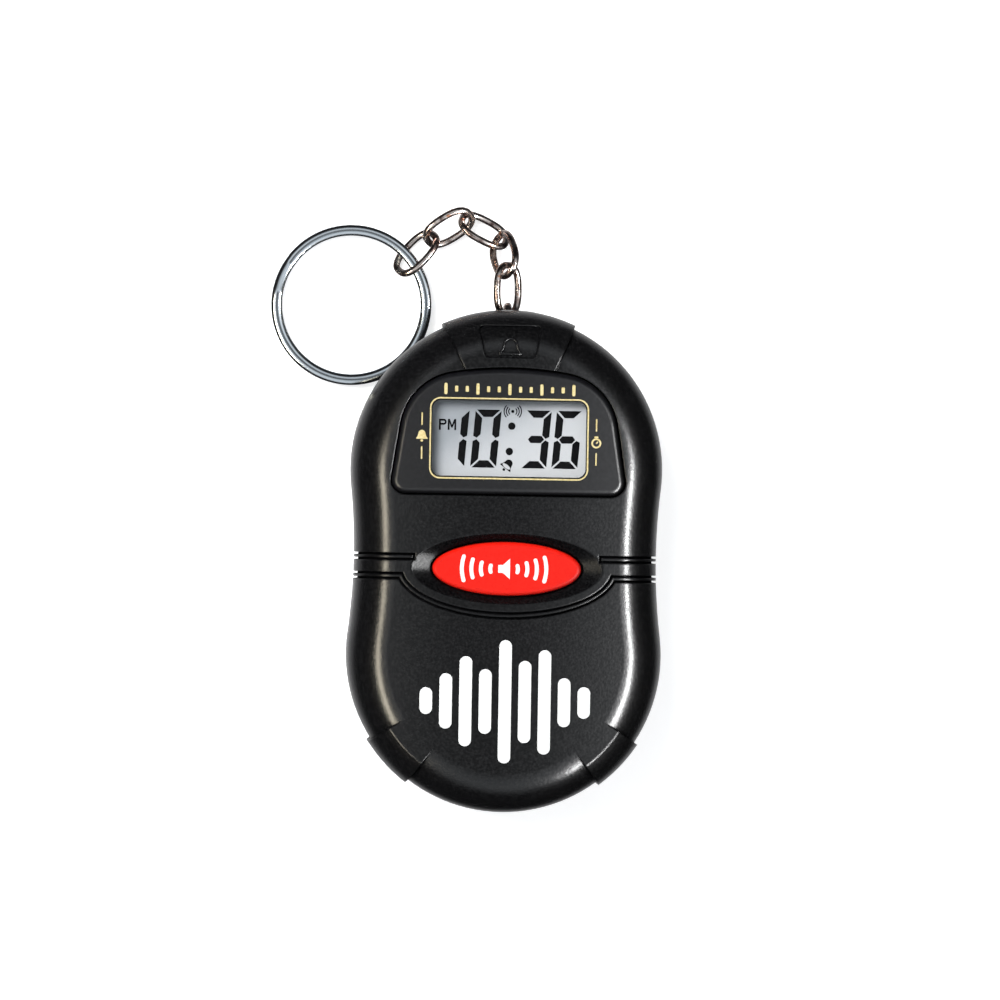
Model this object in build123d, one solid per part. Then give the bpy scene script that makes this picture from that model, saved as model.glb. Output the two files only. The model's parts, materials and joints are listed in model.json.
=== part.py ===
from build123d import *
import os
from math import cos, hypot, radians, sin, sqrt

# Key-ring talking clock: a palm-sized black case with a display, a large oval talk button,
# a speaker and two button cells inside, and a chain with a split ring at its top.
# It lies on its back: +Z is the front, +Y points to the key ring, z = 0 is the back face,
# and y = 0 lies midway between the centres of the two round ends. Sizes are millimetres.

# Case outline and shells
upper_radius = 19.8
lower_radius = 20.0
lobe_spacing = 23.6
waist_radius = 77.0
case_depth = 17.0
parting_height = 8.5
front_edge = 5.0
back_edge = 6.5
side_wall = 1.6
front_wall = 2.0
back_wall = 1.6
lip_thickness = 0.8
lip_height = 1.2
lip_gap = 0.06

# Moulded straps, sign recess, waist grooves and the seam between the shells
strap_rise = 0.5
strap_face_rise = 0.3
top_strap_half_angle = 24.5
foot_strap_from = 33.0
foot_strap_to = 53.0
sign_near = 5.7
sign_far = 1.6
sign_near_half = 3.2
sign_far_half = 4.1
sign_depth = 0.28
groove_width = 0.93
groove_line = 0.3
groove_depth = 0.55
groove_back_stop = 1.6
upper_groove_rise = 1.37
lower_groove_drop = 1.06
brow_half_length = 13.7
brow_half_height = 5.95
seam_height = 0.2
seam_depth = 0.2

# Talk button and its dish
button_y = -0.8
button_half_length = 9.45
button_half_height = 3.43
button_recess = 0.4
button_edge = 0.6
button_gap = 0.25
dish_half_length = 12.1
dish_half_height = 4.5
dish_depth = 0.85
pad_thickness = 0.6
pad_margin = 1.6
flange_reach = 0.95
flange_thickness = 0.8
flange_gap = 0.05
stem_radius = 2.2
talk_dome_radius = 3.4
talk_dome_height = 1.4
dome_wall = 0.4

# Display: bezel plate, clear window, liquid-crystal panel and its rubber connector
bezel_low = 8.56
bezel_shoulder = 22.6
bezel_high = 24.55
bezel_low_half = 15.1
bezel_shoulder_half = 12.9
bezel_low_corner = 1.8
bezel_shoulder_corner = 7.8
bezel_thickness = 1.2
bezel_gap = 0.15
bezel_edge = 0.8
display_y = 15.66
opening_length = 19.5
opening_height = 9.55
opening_corner = 1.1
window_lap = 0.9
window_thickness = 0.6
window_gap = 0.05
light_hole_margin = 0.4
lcd_length = 22.6
lcd_height = 12.6
lcd_thickness = 1.9
lcd_step = 1.5
lcd_gap = 0.05
lcd_rib = 0.8
lcd_rib_drop = 2.5
strip_length = 20.0
strip_width = 1.8
strip_inset = 0.5

# Circuit board and what it carries
board_thickness = 1.0
board_gap = 0.9
board_inset = 3.4
board_end = 17.0
board_boss_gap = 0.4
board_screw_x = 13.2
board_screw_y = 3.6
board_low_screw_y = -14.5
board_post_radius = 2.0
board_screw_radius = 0.7
board_head_radius = 1.4
board_head_height = 0.6
board_screw_grip = 3.0
clock_chip_radius = 3.2
clock_chip_height = 0.9
clock_chip_y = 16.0
voice_chip_radius = 3.5
voice_chip_height = 1.4
voice_chip_y = -8.4
crystal_radius = 1.0
crystal_length = 6.0
crystal_x = -10.5
crystal_y = -8.0
capacitor_radius = 1.4
capacitor_length = 5.0
capacitor_x = 9.5
capacitor_y = -9.0

# Case screws and their bosses
case_screw_upper_x = 14.2
case_screw_upper_y = 13.2
case_screw_lower_x = 11.5
case_screw_lower_y = -19.3
boss_radius = 2.2
screw_radius = 0.8
screw_head_radius = 1.5
screw_head_height = 0.9
screw_head_depth = 2.6
screw_grip = 3.6
screw_gap = 0.1
cross_length = 1.7
cross_width = 0.4
cross_depth = 0.4

# Speaker
speaker_y = 13.2
speaker_radius = 9.0
speaker_height = 3.0
speaker_rim = 0.8
speaker_wall = 0.45
basket_radius = 6.2
magnet_radius = 5.0
magnet_height = 2.4
cone_lift = 0.25
cone_wall = 0.2
cone_cap_radius = 2.6
speaker_rib = 0.8
speaker_rib_height = 2.4
speaker_gap = 0.1
grille_hole = 0.65
grille_pitch = 2.4
grille_rings = 2
lead_radius = 0.3
lead_spread = 3.2
lead_board_spread = 4.6
lead_board_y = 1.4

# Button cells, contacts and battery door
cell_radius = 5.8
cell_height = 5.4
cell_cap_radius = 4.8
cell_cap_height = 0.7
cell_edge = 0.3
cell_x = 6.1
cell_y = -9.8
cell_gap = 0.25
bay_wall = 1.0
bay_roof = 0.8
contact_room = 0.8
contact_thickness = 0.25
contact_width = 3.0
contact_half_length = 2.6
contact_flat = 2.0
contact_slot_gap = 0.15
bridge_thickness = 0.3
bridge_width = 4.4
cell_play = 0.05
door_thickness = 1.0
door_lap = 0.95
door_gap = 0.1
door_recess = 0.05
door_edge = 0.25
door_screw_y = -4.9
door_post_radius = 1.8
door_head_height = 0.6
door_screw_grip = 4.0

# Mode and set buttons on the back
key_x = 8.6
key_y = 2.2
key_radius = 1.5
key_recess = 0.15
key_edge = 0.3
key_gap = 0.1
key_flange_radius = 2.3
key_flange_thickness = 0.8
key_stem_radius = 1.0
key_collar_gap = 0.2
key_collar_wall = 0.8
key_collar_height = 3.6
key_dome_height = 1.5
key_dome_radius = 2.2

# Lug eye in the top of the case
eye_rise = 1.1
eye_height = 5.6
eye_wire = 1.0
eye_span = 4.0
eye_bend = 0.9
eye_leg = 5.2
eye_gap = 0.06
cup_radius = 2.2
cup_half_height = 2.8
lug_block_half = 2.6
lug_block_depth = 4.4

# Chain: each link has a heading, a slope, a roll about its length and its share of slack to its neighbour
link_wire = 0.92
link_length = 7.3
link_width = 5.0
link_tip = 0.6
link_headings = [90.0, 108.0, 154.0, 213.0, 228.0]
link_slopes = [0.0, -43.0, 7.5, -8.5, 0.4]
link_rolls = [46.0, -46.0, 48.0, -44.0, 47.3]
link_slack = 0.12
link_slack_shares = [1.0, 2.4, 1.5, 2.0, 1.0]

# Split ring of flat spring wire, two turns with a short crossover
ring_outer_radius = 10.3
ring_band = 1.4
ring_coil = 0.85
ring_coil_gap = 0.06
ring_round = 0.4
ring_tilt = 3.2
ring_heading = 36.0
ring_tip_distance = 7.57
ring_floor_gap = 0.02
crossover_angle = 159.0
crossover_sweep = 24.0

# Places and heights that follow from the sizes above
upper_y = lobe_spacing / 2
lower_y = -lobe_spacing / 2
case_top = upper_y + upper_radius
inner_front = case_depth - front_wall
board_places = [(board_screw_x, board_screw_y), (-board_screw_x, board_screw_y), (0, board_low_screw_y)]
case_screw_places = [
    (side * x, y)
    for x, y in ((case_screw_upper_x, case_screw_upper_y), (case_screw_lower_x, case_screw_lower_y))
    for side in (1, -1)
]
key_places = {"mode": (-key_x, key_y), "set": (key_x, key_y)}
cell_places = {"left": (-cell_x, cell_y), "right": (cell_x, cell_y)}
lcd_top = inner_front - lcd_gap
lcd_bottom = lcd_top - lcd_thickness
pad_bottom = inner_front - pad_thickness
flange_top = pad_bottom - flange_gap
flange_bottom = flange_top - flange_thickness
button_top = case_depth - button_recess
door_top = door_recess + door_thickness
cell_low = door_top + bridge_thickness + cell_play
cell_top = cell_low + cell_height
bay_ceiling = cell_top + contact_room
bay_top = bay_ceiling + bay_roof
board_bottom = bay_top + board_gap
board_top = board_bottom + board_thickness
stem_bottom = board_top + talk_dome_height
bay_radius = cell_radius + cell_gap
door_radius = bay_radius + door_lap
key_flange_low = back_wall + key_gap
key_stem_top = board_bottom - key_dome_height
speaker_back = back_wall + speaker_height
eye_y = case_top + eye_rise
ring_half = ring_coil + ring_coil_gap / 2


# Plain helpers
def prism(face, low, high):
    """A straight solid over a flat drawing, between two heights."""
    return Pos(0, 0, low) * extrude(face, high - low, dir=(0, 0, 1))


def rod(radius, low, high, x=0.0, y=0.0):
    """An upright cylinder between two heights."""
    return Pos(x, y, low) * Cylinder(radius, high - low, align=(Align.CENTER, Align.CENTER, Align.MIN))


def turned(profile, x=0.0, y=0.0):
    """A solid of revolution about an upright axis; the profile is a list of (radius, height)."""
    outline_wire = Polyline([(radius, 0, height) for radius, height in profile], close=True)
    return Pos(x, y, 0) * revolve(make_face(outline_wire), Axis.Z)


def wire_along(path, radius):
    """A round wire along a path."""
    return sweep(Plane(origin=path @ 0, z_dir=path % 0) * Circle(radius), path=path)


def ellipse(half_length, half_height):
    return Pos(0, button_y) * Ellipse(half_length, half_height)


def stadium(radius, low, high):
    """A flat-sided slot with round ends that follows the two cells."""
    return prism(Pos(0, cell_y) * SlotCenterToCenter(2 * cell_x, 2 * radius), low, high)


# The case's skin
def outline(inset=0.0):
    """The case's outline, moved inwards: two round ends joined by shallow hollow sides."""
    waist_y = ((upper_radius + waist_radius) ** 2 - (lower_radius + waist_radius) ** 2) / (-2 * lobe_spacing)
    waist_x = sqrt((upper_radius + waist_radius) ** 2 - (waist_y - upper_y) ** 2)
    upper_end = Vector(0, upper_y) + Vector(waist_x, waist_y - upper_y).normalized() * (upper_radius - inset)
    lower_end = Vector(0, lower_y) + Vector(waist_x, waist_y - lower_y).normalized() * (lower_radius - inset)
    upper_left = Vector(-upper_end.X, upper_end.Y)
    lower_left = Vector(-lower_end.X, lower_end.Y)
    side = waist_x - waist_radius - inset
    return make_face(
        [
            ThreePointArc(upper_end, (0, upper_y + upper_radius - inset), upper_left),
            ThreePointArc(upper_left, (-side, waist_y), lower_left),
            ThreePointArc(lower_left, (0, lower_y - lower_radius + inset), lower_end),
            ThreePointArc(lower_end, (side, waist_y), upper_end),
        ]
    )


def rounded_case(inset, low, high, low_edge, high_edge):
    """A block over the outline with rounded front and back edges."""
    body = prism(outline(inset), low, high)
    body = fillet(body.edges().group_by(Axis.Z)[-1], high_edge)
    return fillet(body.edges().group_by(Axis.Z)[0], low_edge)


def case_offset(inset):
    """The bare case moved inwards all over, or outwards where the inset is negative."""
    return rounded_case(inset, inset, case_depth - inset, back_edge - inset, front_edge - inset)


def strap_offset(sink):
    """The skin of the top strap, sunk by the given depth."""
    rise = strap_rise - sink
    face_rise = strap_face_rise - sink
    return rounded_case(-rise, -rise, case_depth + face_rise, back_edge + rise, front_edge + face_rise)


def sector(centre_y, start, end, high):
    """A wedge from a lobe centre between two angles, from the back face up."""
    reach = 2 * (upper_radius + lower_radius)
    corners = [(0, 0)] + [(reach * cos(radians(a)), reach * sin(radians(a))) for a in (start, end)]
    return prism(Pos(0, centre_y) * make_face(Polyline(corners, close=True)), 0, high)


def case_skin():
    """The whole outside of the case with its three moulded straps."""
    top = strap_offset(0) & sector(upper_y, 90 - top_strap_half_angle, 90 + top_strap_half_angle, 2 * case_depth)
    foot_skin = case_offset(-strap_rise)
    skin = case_offset(0) + top
    for start, end in ((foot_strap_from, foot_strap_to), (180 - foot_strap_to, 180 - foot_strap_from)):
        skin += foot_skin & sector(lower_y, -end, -start, case_depth)
    return skin


def waist_bands(width):
    """Two level bands across the case, seen from the front; the lower one dips round the button as a brow."""
    reach = upper_radius + lower_radius
    half = width / 2
    upper = Pos(0, button_y + upper_groove_rise) * Rectangle(2 * reach, width)
    upper -= ellipse(dish_half_length - half, reach)
    lower = Pos(0, button_y - lower_groove_drop) * Rectangle(2 * reach, width)
    lower -= ellipse(brow_half_length - half, reach)
    brow = ellipse(brow_half_length + half, brow_half_height + half)
    brow -= ellipse(brow_half_length - half, brow_half_height - half)
    below = Pos(0, button_y - lower_groove_drop + half) * Rectangle(2 * reach, reach, align=(Align.CENTER, Align.MAX))
    return upper + lower + (brow & below)


def grooves():
    """The thin grooves along both edges of the waist bands, and the seam where the shells meet."""
    lines = waist_bands(groove_width) - waist_bands(groove_width - 2 * groove_line)
    cutter = prism(lines, groove_back_stop, case_depth + groove_depth) - case_offset(groove_depth)
    seam = half_space(parting_height - seam_height / 2, parting_height + seam_height / 2)
    return cutter + (seam - case_offset(seam_depth))


def sign_recess():
    """The shallow tapered recess in the top strap, following its rounded face."""
    near, far = case_top - sign_near, case_top - sign_far
    corners = [(-sign_near_half, near), (sign_near_half, near), (sign_far_half, far), (-sign_far_half, far)]
    tablet = fillet(make_face(Polyline(corners, close=True)).vertices(), sign_depth * 2)
    return prism(tablet, inner_front / 2, 2 * case_depth) - strap_offset(sign_depth)


def cavity():
    """The hollow inside both shells."""
    return rounded_case(side_wall, back_wall, inner_front, back_edge - back_wall, front_edge - side_wall)


def lip_ring(outer_inset, high):
    return prism(outline(outer_inset), parting_height, high) - prism(outline(side_wall), parting_height, high)


def half_space(low, high):
    """The layer of space between two heights, wider than the case."""
    reach = 4 * (upper_radius + lower_radius)
    return Pos(0, 0, (low + high) / 2) * Box(reach, reach, high - low)


# Display
def bezel_face():
    """The display plate's outline: straight foot, leaning sides and an arched top."""
    foot_left, foot_right = (-bezel_low_half, bezel_low), (bezel_low_half, bezel_low)
    left, right = (-bezel_shoulder_half, bezel_shoulder), (bezel_shoulder_half, bezel_shoulder)
    face = make_face(
        [
            Line(foot_left, foot_right),
            Line(foot_right, right),
            ThreePointArc(right, (0, bezel_high), left),
            Line(left, foot_left),
        ]
    )
    ranked = face.vertices().sort_by(Axis.Y)
    face = fillet(ranked[:2], bezel_low_corner)
    shoulders = [v for v in face.vertices() if abs(v.Y - bezel_shoulder) < bezel_edge / 4]
    return fillet(shoulders, bezel_shoulder_corner)


def display_rectangle(margin, corner=0.0):
    """The display opening's rectangle, grown by a margin on each side."""
    length, height = opening_length + 2 * margin, opening_height + 2 * margin
    shape = RectangleRounded(length, height, corner) if corner else Rectangle(length, height)
    return Pos(0, display_y) * shape


def display_bezel():
    low = case_depth - bezel_thickness
    plate = prism(bezel_face(), low, case_depth)
    plate = fillet(plate.edges().group_by(Axis.Z)[-1], bezel_edge)
    plate -= prism(display_rectangle(0, opening_corner), low, case_depth)
    return plate - prism(display_rectangle(window_lap + window_gap), low, low + window_thickness + window_gap)


def display_window():
    low = case_depth - bezel_thickness
    return prism(display_rectangle(window_lap, opening_corner / 2), low, low + window_thickness)


def lcd_panel():
    """Two glass plates; the back one carries the ledge that the connector presses on."""
    middle = lcd_bottom + lcd_thickness / 2
    back = prism(Pos(0, display_y) * Rectangle(lcd_length, lcd_height), lcd_bottom, middle)
    front_height = lcd_height - lcd_step
    front = Pos(0, display_y + lcd_step / 2) * Rectangle(lcd_length, front_height)
    return back + prism(front, middle, lcd_top)


def zebra_strip():
    foot = display_y - lcd_height / 2 + strip_inset
    bar = Rectangle(strip_length, strip_width, align=(Align.CENTER, Align.MIN))
    return prism(Pos(0, foot) * bar, board_top, lcd_bottom)


# Front shell
def front_shell():
    shell = (case_skin() & half_space(parting_height, 2 * case_depth)) - cavity()
    shell += prism(ellipse(dish_half_length + pad_margin, dish_half_height + pad_margin), pad_bottom, inner_front)
    rib_length, rib_height = lcd_length + 2 * lcd_gap, lcd_height + 2 * lcd_gap
    nest = Pos(0, display_y) * Rectangle(rib_length, rib_height)
    frame = Pos(0, display_y) * Rectangle(rib_length + 2 * lcd_rib, rib_height + 2 * lcd_rib)
    shell += prism(frame, inner_front - lcd_rib_drop, inner_front)
    for x, y in board_places:
        shell += rod(board_post_radius, board_top, inner_front, x, y)
    for x, y in case_screw_places:
        shell += rod(boss_radius, parting_height, inner_front, x, y)
    shell -= prism(nest, inner_front - lcd_rib_drop, inner_front)
    shell -= lip_ring(side_wall - lip_thickness - lip_gap, parting_height + lip_height + lip_gap)
    pocket = offset(bezel_face(), bezel_gap)
    shell -= prism(pocket, case_depth - bezel_thickness, 2 * case_depth)
    shell -= prism(display_rectangle(light_hole_margin, opening_corner), inner_front - lcd_gap, case_depth)
    shell -= dish() + prism(button_hole(), parting_height, case_depth)
    for x, y in board_places:
        shell -= rod(board_screw_radius, board_top, board_top + board_screw_grip + screw_gap, x, y)
    for x, y in case_screw_places:
        shell -= rod(screw_radius, parting_height, parting_height + screw_grip + screw_gap, x, y)
    return shell - eye_seat() - grooves() - sign_recess()


def button_hole():
    return ellipse(button_half_length + button_gap, button_half_height + button_gap)


def dish():
    """The sloping oval dish round the talk button."""
    top = Pos(0, 0, case_depth) * ellipse(dish_half_length, dish_half_height)
    bottom = Pos(0, 0, case_depth - dish_depth) * button_hole()
    return loft([bottom, top], ruled=True)


# Rear shell
def rear_shell():
    skin = case_skin() & half_space(-case_depth, parting_height)
    shell = skin - cavity()
    shell += lip_ring(side_wall - lip_thickness, parting_height + lip_height)
    inner = lug_block() + stadium(bay_radius + bay_wall, back_wall / 2, bay_top)
    rib_radius = speaker_radius + speaker_gap
    inner += rod(rib_radius + speaker_rib, back_wall / 2, back_wall + speaker_rib_height, 0, speaker_y)
    for x, y in case_screw_places:
        inner += rod(boss_radius, back_wall / 2, parting_height, x, y)
    for x, y in key_places.values():
        collar = key_flange_radius + key_collar_gap + key_collar_wall
        inner += rod(collar, back_wall / 2, back_wall + key_collar_height, x, y)
    shell += inner & skin
    shell -= rod(rib_radius, back_wall, bay_top, 0, speaker_y)
    shell -= stadium(bay_radius, 0, bay_ceiling)
    shell += rod(door_post_radius, door_top + door_gap, bay_ceiling, 0, door_screw_y)
    shell -= stadium(door_radius + door_gap, 0, door_top + door_gap)
    shell -= rod(screw_radius + screw_gap, 0, door_top + door_screw_grip, 0, door_screw_y)
    for x, y in grille_places():
        shell -= rod(grille_hole, 0, back_wall, x, y)
    for x, y in case_screw_places:
        shell -= rod(screw_head_radius + screw_gap, 0, screw_head_depth, x, y)
        shell -= rod(screw_radius + screw_gap, 0, parting_height, x, y)
    for x, y in key_places.values():
        shell -= rod(key_radius + key_gap, 0, back_wall, x, y)
        shell -= rod(key_flange_radius + key_collar_gap, back_wall, back_wall + key_collar_height, x, y)
    for side in (1, -1):
        shell -= contact_slot(side)
    shell -= eye_seat() + rod(cup_radius, eye_height, parting_height, 0, eye_y)
    return shell - grooves()


def lug_block():
    """The solid block inside the top wall that the lug eye's legs are moulded into."""
    block = Rectangle(2 * lug_block_half, lug_block_depth, align=(Align.CENTER, Align.MAX))
    return prism(Pos(0, case_top) * block, back_wall / 2, parting_height)


def eye_seat():
    """The tunnel for the lug eye's wire and the cup round it that gives the first link room."""
    cup = rod(cup_radius, eye_height - cup_half_height, eye_height + cup_half_height, 0, eye_y)
    return wire_along(eye_path(), eye_wire / 2 + eye_gap) + cup


def grille_places():
    """One centre hole and rings of holes, six more in each ring."""
    places = [(0, speaker_y)]
    for ring in range(1, grille_rings + 1):
        for step in range(6 * ring):
            angle = radians(360 * step / (6 * ring))
            places.append((ring * grille_pitch * cos(angle), speaker_y + ring * grille_pitch * sin(angle)))
    return places


# Fasteners
def screw(x, y, head_low, head_radius, head_height, radius, tip):
    """A pan screw whose head faces the back, with a cross recess."""
    body = rod(head_radius, head_low, head_low + head_height, x, y)
    body = fillet(body.edges().group_by(Axis.Z)[0], head_height / 3)
    body += rod(radius, head_low, tip, x, y)
    for length, width in ((cross_length, cross_width), (cross_width, cross_length)):
        body -= Pos(x, y, head_low + cross_depth / 2) * Box(length, width, cross_depth)
    return body


def case_screws():
    head_low = screw_head_depth - screw_head_height
    tip = parting_height + screw_grip
    sizes = (head_low, screw_head_radius, screw_head_height, screw_radius, tip)
    return [screw(x, y, *sizes) for x, y in case_screw_places]


def board_screws():
    head_low = board_bottom - board_head_height
    tip = board_top + board_screw_grip
    return [
        screw(x, y, head_low, board_head_radius, board_head_height, board_screw_radius, tip) for x, y in board_places
    ]


# Circuit board
def circuit_board():
    board = prism(outline(board_inset), board_bottom, board_top)
    reach = 2 * (upper_radius + lower_radius)
    trim = Rectangle(reach, reach, align=(Align.CENTER, Align.MAX))
    board -= prism(Pos(0, -board_end) * trim, board_bottom, board_top)
    for x, y in case_screw_places:
        board -= rod(boss_radius + board_boss_gap, board_bottom, board_top, x, y)
    for x, y in board_places:
        board -= rod(board_screw_radius + screw_gap, board_bottom, board_top, x, y)
    return board


def glob(radius, height, y):
    """A blob of potting resin over a bare chip: the cap of a ball."""
    ball = (radius**2 + height**2) / (2 * height)
    cap = Pos(0, 0, board_top + height - ball) * Sphere(ball)
    return Pos(0, y, 0) * (cap & rod(radius, board_top, board_top + height))


def quartz_crystal():
    can = Cylinder(crystal_radius, crystal_length, rotation=(0, 90, 0))
    return Pos(crystal_x, crystal_y, board_top + crystal_radius) * fillet(can.edges(), crystal_radius / 5)


def capacitor():
    can = Cylinder(capacitor_radius, capacitor_length, rotation=(0, 90, 0))
    return Pos(capacitor_x, capacitor_y, board_top + capacitor_radius) * fillet(can.edges(), capacitor_radius / 6)


# Speaker
def speaker_frame():
    inner = speaker_radius - speaker_rim
    return turned(
        [
            (speaker_radius, back_wall),
            (speaker_radius, back_wall + speaker_rim),
            (basket_radius, speaker_back),
            (0, speaker_back),
            (0, speaker_back - speaker_wall),
            (basket_radius - speaker_wall, speaker_back - speaker_wall),
            (inner, back_wall + speaker_rim - speaker_wall / 2),
            (inner, back_wall),
        ],
        0,
        speaker_y,
    )


def speaker_magnet():
    magnet = rod(magnet_radius, speaker_back, speaker_back + magnet_height, 0, speaker_y)
    return fillet(magnet.edges().group_by(Axis.Z)[-1], speaker_wall)


def speaker_cone():
    """The paper cone with its raised dust cap, hung in the frame's rim."""
    rim = speaker_radius - speaker_rim - cone_wall / 2
    low = back_wall + cone_lift
    deep = speaker_back - speaker_wall - cone_wall - cone_lift
    return turned(
        [
            (rim, low),
            (rim, low + cone_wall),
            (rim - speaker_rim, low + cone_wall),
            (cone_cap_radius, deep + cone_wall),
            (0, low + 2 * cone_wall),
            (0, low + cone_wall),
            (cone_cap_radius, deep),
            (rim - speaker_rim, low),
        ],
        0,
        speaker_y,
    )


def speaker_leads():
    """Two short leads from the speaker basket's sloping back up to the board."""
    terminal = speaker_radius - 2 * speaker_rim
    slope = (speaker_height - speaker_rim) / (speaker_radius - basket_radius)
    inner = hypot(lead_spread, terminal) - lead_radius
    start_z = back_wall + speaker_rim + (speaker_radius - inner) * slope
    leads = []
    for side in (1, -1):
        start = (side * lead_spread, speaker_y - terminal, start_z)
        end = (side * lead_board_spread, lead_board_y, board_bottom)
        low = (start[0], start[1], start_z + (board_bottom - start_z) / 3)
        high = (end[0], end[1], start_z + (board_bottom - start_z) * 2 / 3)
        leads.append(wire_along(FilletPolyline(start, low, high, end, radius=3 * lead_radius), lead_radius))
    return leads


# Cells, contacts and the battery door
def battery_cell(place, cap_up):
    """A button cell: a wide can and a smaller cap on one side."""
    can_height = cell_height - cell_cap_height
    can = fillet(rod(cell_radius, 0, can_height).edges(), cell_edge)
    cell = can + rod(cell_cap_radius, can_height - cell_edge, cell_height)
    if cap_up:
        return Pos(*place, cell_low) * cell
    return Pos(*place, cell_top) * Rot(180, 0, 0) * cell


def contact_path(side):
    """The side view of a contact leaf: sprung tongue, flat under the roof, tab up to the board."""
    x, half = side * cell_x, contact_thickness / 2
    flat_z = bay_ceiling - half
    return [
        (x - side * contact_half_length, cell_top + half),
        (x + side * (contact_half_length - contact_flat), flat_z),
        (x + side * contact_half_length, flat_z),
        (x + side * contact_half_length, board_bottom),
    ]


def contact_leaf(side):
    tip, knee, corner, tab = contact_path(side)
    half = contact_thickness / 2
    profile = make_face(
        Polyline(
            [
                (tip[0], tip[1] - half),
                (knee[0], knee[1] - half),
                (corner[0] + side * half, corner[1] - half),
                (tab[0] + side * half, tab[1]),
                (tab[0] - side * half, tab[1]),
                (corner[0] - side * half, corner[1] + half),
                (knee[0], knee[1] + half),
                (tip[0], tip[1] + half),
            ],
            close=True,
        )
    )
    return Plane.XZ.offset(-cell_y - contact_width / 2) * extrude(profile, contact_width)


def contact_slot(side):
    """The slot in the bay's roof that a contact's tab passes through."""
    x = side * (cell_x + contact_half_length)
    size = contact_thickness + 2 * contact_slot_gap
    return Pos(x, cell_y, bay_top) * Box(size, contact_width + 2 * contact_slot_gap, 2 * bay_top - 2 * bay_ceiling)


def contact_bridge():
    """The strip on the door that joins the two cells."""
    return prism(Pos(0, cell_y) * SlotCenterToCenter(2 * cell_x, bridge_width), door_top, door_top + bridge_thickness)


def battery_door():
    door = stadium(door_radius, door_recess, door_top)
    door = fillet(door.edges().group_by(Axis.Z)[0], door_edge)
    head = door_recess + door_head_height + screw_gap
    door -= rod(screw_head_radius + screw_gap, 0, head, 0, door_screw_y)
    return door - rod(screw_radius, 0, door_top, 0, door_screw_y)


def battery_door_screw():
    head_low = door_recess + screw_gap
    tip = door_top + door_screw_grip - screw_gap
    return screw(0, door_screw_y, head_low, screw_head_radius, door_head_height, screw_radius - screw_gap / 2, tip)


# Buttons and domes
def talk_button():
    cap = prism(ellipse(button_half_length, button_half_height), flange_bottom, button_top)
    cap = fillet(cap.edges().group_by(Axis.Z)[-1], button_edge)
    reach = flange_reach + button_gap
    flange = ellipse(button_half_length + reach, button_half_height + reach)
    return cap + prism(flange, flange_bottom, flange_top) + rod(stem_radius, stem_bottom, flange_bottom, 0, button_y)


def dome(radius, tip_radius, seat, tip, place):
    """A hollow rubber dome from its wide seat on the board to its narrow tip."""
    wall = dome_wall if tip > seat else -dome_wall
    return turned(
        [
            (0, tip),
            (tip_radius, tip),
            (radius, seat + wall),
            (radius, seat),
            (radius - dome_wall, seat),
            (tip_radius - dome_wall, tip - wall),
            (0, tip - wall),
        ],
        *place,
    )


def key_button(place):
    cap = rod(key_radius, key_recess, key_flange_low, *place)
    cap = fillet(cap.edges().group_by(Axis.Z)[0], key_edge)
    cap += rod(key_flange_radius, key_flange_low, key_flange_low + key_flange_thickness, *place)
    return cap + rod(key_stem_radius, key_flange_low, key_stem_top, *place)


# Lug eye, chain and split ring
def eye_path():
    low, high = eye_height - eye_span / 2, eye_height + eye_span / 2
    foot = eye_y - eye_leg
    return FilletPolyline((0, foot, low), (0, eye_y, low), (0, eye_y, high), (0, foot, high), radius=eye_bend)


def lug_eye():
    return wire_along(eye_path(), eye_wire / 2)


def link_frames():
    """The place of each link: the middle of its starting tip, its heading and its cross direction."""
    frames = []
    pivot = Vector(0, eye_y, eye_height)
    reach = (link_wire + eye_wire) / 2
    for heading, slope, roll, share in zip(link_headings, link_slopes, link_rolls, link_slack_shares):
        along = Vector(1, 0, 0).rotate(Axis.Y, -slope).rotate(Axis.Z, heading)
        level = Vector(0, 0, 1).cross(along).normalized()
        cross = level * cos(radians(roll)) + along.cross(level) * sin(radians(roll))
        start = pivot - along * (reach + link_slack * share)
        frames.append((start, along, cross))
        pivot = start + along * (link_length - link_wire)
        reach = link_wire
    return frames


def chain_link(start, along, cross):
    """An oval link of round wire with short straight tips."""
    long_side, short_side = link_length - link_wire, link_width - link_wire
    loop = RectangleRounded(long_side, short_side, (short_side - link_tip) / 2).wire()
    link = wire_along(loop, link_wire / 2)
    return Plane(origin=start + along * (long_side / 2), x_dir=along, z_dir=along.cross(cross)) * link


def ring_plane():
    """The split ring's middle plane; its x axis points to the last link's tip."""
    start, along, cross = link_frames()[-1]
    tip = start + along * (link_length - link_wire)
    towards = Vector(1, 0, 0).rotate(Axis.Y, -ring_tilt).rotate(Axis.Z, ring_heading)
    level = Vector(0, 0, 1).cross(towards).normalized()
    low = ring_outer_radius * sin(radians(ring_tilt)) + ring_half * cos(radians(ring_tilt))
    centre = tip - towards * ring_tip_distance
    return Plane((centre.X, centre.Y, low + ring_floor_gap), x_dir=towards, z_dir=towards.cross(level))


def ring_section(height):
    middle = ring_outer_radius - ring_band / 2
    section = RectangleRounded(ring_band, ring_coil, ring_round)
    return Plane(origin=(middle, 0, height), x_dir=(1, 0, 0), z_dir=(0, -1, 0)) * section


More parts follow.
